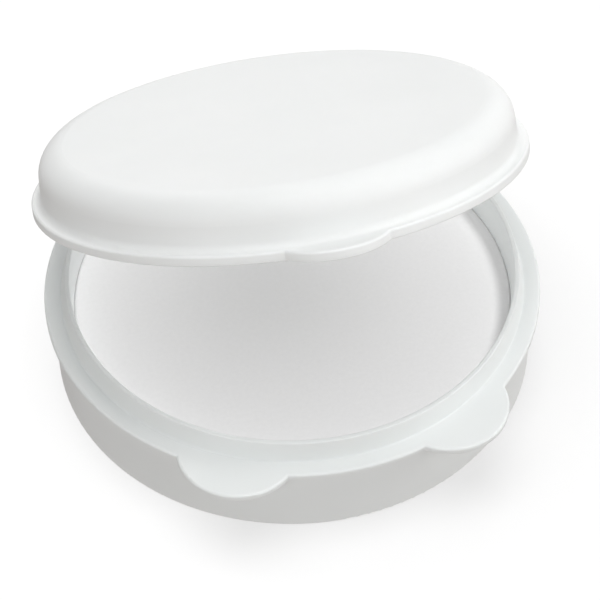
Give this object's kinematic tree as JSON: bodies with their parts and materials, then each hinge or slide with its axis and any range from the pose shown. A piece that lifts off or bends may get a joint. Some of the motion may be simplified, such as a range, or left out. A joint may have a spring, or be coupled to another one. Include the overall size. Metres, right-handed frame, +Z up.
{
  "type": "wet palette",
  "caption": "Round flip-top wet palette: a shallow tub with a snap collar and finger tabs holds a damp sponge and palette paper under a hinged, domed lid.",
  "frame": {"origin": "centre of the flat underside, on the tub's axis", "axes": "+Z up, -Y to the front with the finger tabs, +Y to the hinge, X along the hinge pin"},
  "size_m": [0.165, 0.1744, 0.1163],
  "materials": {
    "tub_plastic": "satin moulded polypropylene, slightly translucent",
    "lid_plastic": "satin moulded polypropylene, slightly translucent",
    "pin_steel": "drawn stainless wire",
    "sponge_foam": "open-cell damp foam",
    "paper": "damp semi-translucent parchment"
  },
  "bodies": {
    "base": {"base_tub": "tub_plastic", "hinge_pin": "pin_steel", "sponge": "sponge_foam", "palette_paper": "paper"},
    "lid": {"lid": "lid_plastic"}
  },
  "joints": [
    {"name": "lid_hinge", "type": "hinge", "parent": "base", "child": "lid", "pos_m": [0, 0.0867, 0.0217], "axis": [-1, 0, 0], "range_deg": [-26.7, 138.3]}
  ]
}
